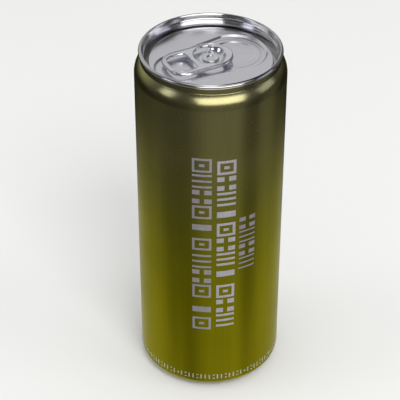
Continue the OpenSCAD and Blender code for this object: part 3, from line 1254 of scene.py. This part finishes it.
@dataclass
class Studio:
    """Pale floor, soft lights, the room that the metal mirrors, and the camera."""

    floor_size: float = 8.0
    lens: float = 128.727
    sensor: float = 36.0
    camera_at: tuple[float, float, float] = (-0.00367, -0.4217, 0.3842)
    pitch: float = 36.67
    boxes: tuple[SoftBox, ...] = (
        SoftBox("front_box", 15.0, 25.5, 1.2, 1.50, 0.68, 2.8, (1.0, 0.985, 1.08)),
        SoftBox("left_box", -67.0, 24.0, 1.2, 0.36, 0.56, 1.7, (0.92, 0.97, 1.22)),
        SoftBox("right_box", 90.0, 20.0, 1.2, 0.62, 0.50, 0.9, (0.92, 0.97, 1.22)),
        SoftBox("top_strip", 0.0, 89.0, 1.3, 0.26, 1.30, 0.8),
        SoftBox("front_fill", 20.0, 50.0, 1.4, 0.56, 0.50, 8.4, for_floor=True),
        SoftBox("left_fill", -84.0, 34.0, 1.4, 0.60, 0.40, 2.4, for_floor=True),
        SoftBox("right_fill", 74.0, 34.0, 1.4, 0.50, 0.40, 2.6, for_floor=True),
    )

    def build_floor(self) -> bpy.types.Object:
        """Lays the floor.

        Returns:
            The floor, which the metal doesn't mirror: the room below stands for it.
        """
        half = self.floor_size / 2
        corners = [(-half, -half, 0), (half, -half, 0), (half, half, 0), (-half, half, 0)]
        mesh = bpy.data.meshes.new("studio_floor")
        mesh.from_pydata(corners, [], [(0, 1, 2, 3)])
        obj = add_object("studio_floor", mesh)
        material, sheet, shader = new_material("studio_paper")
        paper = sheet.blend(sheet.noise(sheet.here(), 3.0),
                            (0.850, 0.850, 0.842, 1.0), (0.870, 0.870, 0.864, 1.0))
        sheet.link(shader, Base_Color=paper, Roughness=0.9, Specular_IOR_Level=0.1)
        mesh.materials.append(material)
        obj.visible_glossy = False
        return obj

    def build_room(self) -> bpy.types.World:
        """Builds the room: an even pale glow, and darker and lighter walls for the metal to mirror.

        Returns:
            The world.
        """
        world = bpy.data.worlds.new("studio_room")
        bpy.context.scene.world = world
        world.use_nodes = True
        world.node_tree.nodes.clear()
        sheet = Sheet(world.node_tree)
        rays = sheet.add("LightPath")
        mirrored = sheet.add("Background", Color=(0.985, 0.985, 1.0, 1.0), Strength=self.walls(sheet))
        glow = sheet.add("Background", Color=(1.0, 1.0, 0.995, 1.0), Strength=0.74)
        seen = sheet.add("Background", Color=(0.90, 0.90, 0.895, 1.0), Strength=1.0)
        shown = glow
        for kind, other in (("Is Glossy Ray", mirrored), ("Is Camera Ray", seen)):
            mixed = sheet.add("MixShader", Fac=rays.outputs[kind])
            sheet.feed(mixed.inputs[1], shown.outputs[0])
            sheet.feed(mixed.inputs[2], other.outputs[0])
            shown = mixed
        sheet.add("OutputWorld", Surface=shown.outputs[0])
        return world

    def walls(self, sheet: Sheet) -> bpy.types.NodeSocket:
        """Brightness of the mirrored room, by azimuth from the front and elevation in degrees.

        Args:
            sheet: the world's nodes.

        Returns:
            The brightness.
        """
        parts = sheet.add("SeparateXYZ", Vector=sheet.add("TexCoord").outputs["Generated"])
        x, y, z = (parts.outputs[axis] for axis in "XYZ")
        degrees = 180.0 / math.pi
        azimuth = sheet.times(sheet.math("ARCTAN2", x, sheet.times(y, -1.0)), degrees)
        elevation = sheet.times(sheet.math("ARCSINE", z), degrees)
        aside = sheet.math("ABSOLUTE", azimuth)
        # below the horizon: the floor in the can's shade, with paler floor past it and a glow in front
        middle = sheet.window(azimuth, -46.0, 4.0, 42.0, 60.0)
        right = sheet.window(azimuth, 72.0, 86.0, 100.0, 122.0)
        dim = sheet.times(sheet.step(elevation, -42.0, -31.0, 0.17, 0.045),
                          sheet.step(aside, 70.0, 110.0, 1.0, 0.45))
        dim = sheet.plus(sheet.plus(dim, sheet.times(middle, 0.14)), sheet.times(right, 0.10))
        edge = sheet.plus(sheet.step(aside, 58.0, 98.0, -43.2, -37.0),
                          sheet.step(aside, 95.0, 145.0, 0.0, 1.9))
        past = sheet.times(sheet.step(sheet.math("SUBTRACT", edge, elevation), -2.6, 2.6),
                           sheet.step(aside, 28.0, 52.0))
        lower = sheet.plus(dim, sheet.times(past, sheet.math("SUBTRACT", 0.60, dim)))
        lower = sheet.plus(lower, sheet.times(middle, sheet.step(elevation, -39.8, -36.2, 0.20, 0.0)))
        # above it: a pale back wall, a dark one on the right and two bright patches over the front
        back = sheet.step(aside, 80.0, 125.0)
        high = sheet.times(sheet.step(elevation, 44.0, 62.0), sheet.times(back, 0.22))
        upper = sheet.math("SUBTRACT", sheet.plus(0.07, sheet.times(back, 0.49)), high)
        shade = sheet.times(sheet.window(azimuth, 72.0, 96.0, 148.0, 166.0), 0.42)
        upper = sheet.math("SUBTRACT", upper, shade, clamp=True)
        crest = sheet.times(sheet.step(z, 0.82, 0.93), sheet.step(y, -0.14, 0.10, 0.85, 0.0))
        flank = sheet.times(sheet.step(z, 0.70, 0.80), sheet.window(azimuth, 30.0, 48.0, 78.0, 96.0))
        upper = sheet.plus(upper, sheet.math("MAXIMUM", crest, sheet.times(flank, 0.85)))
        above = sheet.step(elevation, -14.0, 10.0)
        return sheet.plus(sheet.times(lower, sheet.math("SUBTRACT", 1.0, above)), sheet.times(upper, above))

    def build_camera(self) -> bpy.types.Object:
        """Sets up the camera.

        Returns:
            The camera.
        """
        data = bpy.data.cameras.new("camera")
        data.sensor_width, data.lens, data.clip_start = self.sensor, self.lens, 0.01
        obj = add_object("camera", data)
        obj.location = self.camera_at
        obj.rotation_mode = "XYZ"
        obj.rotation_euler = (math.radians(90.0 - self.pitch), 0.0, 0.0)
        bpy.context.scene.camera = obj
        return obj

    def build(self, target: Vector) -> None:
        """Builds the whole studio, shown without a film curve.

        Args:
            target: the point that the lights face.
        """
        bpy.context.scene.view_settings.view_transform = "Standard"
        self.build_floor()
        self.build_room()
        for box in self.boxes:
            box.build(target)
        self.build_camera()


def main() -> None:
    """Builds the can and the studio, and reports each piece."""
    logging.basicConfig(level=logging.INFO, format="%(name)s %(message)s")
    body_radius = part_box("can_body")[1][0] / MM
    height = CAD_BOX[1][2] / MM
    effects = Effects()
    wall_radius = body_radius - WALL_SINK
    end = CanEnd(height, TAB_TURN)
    pieces = [CanWall(height, wall_radius).build(effects), *end.build(effects),
              PullTab(height - end.panel_depth - TAB_SINK, TAB_TURN).build(effects),
              *WallPrint(body_radius - PRINT_SINK, wall_radius).build(effects)]
    Studio().build(Vector((0.0, 0.0, 0.5 * height * MM)))
    for piece in pieces:
        LOG.info("%s: %d faces", piece.name, len(piece.data.polygons))


if __name__ == "__main__":
    main()
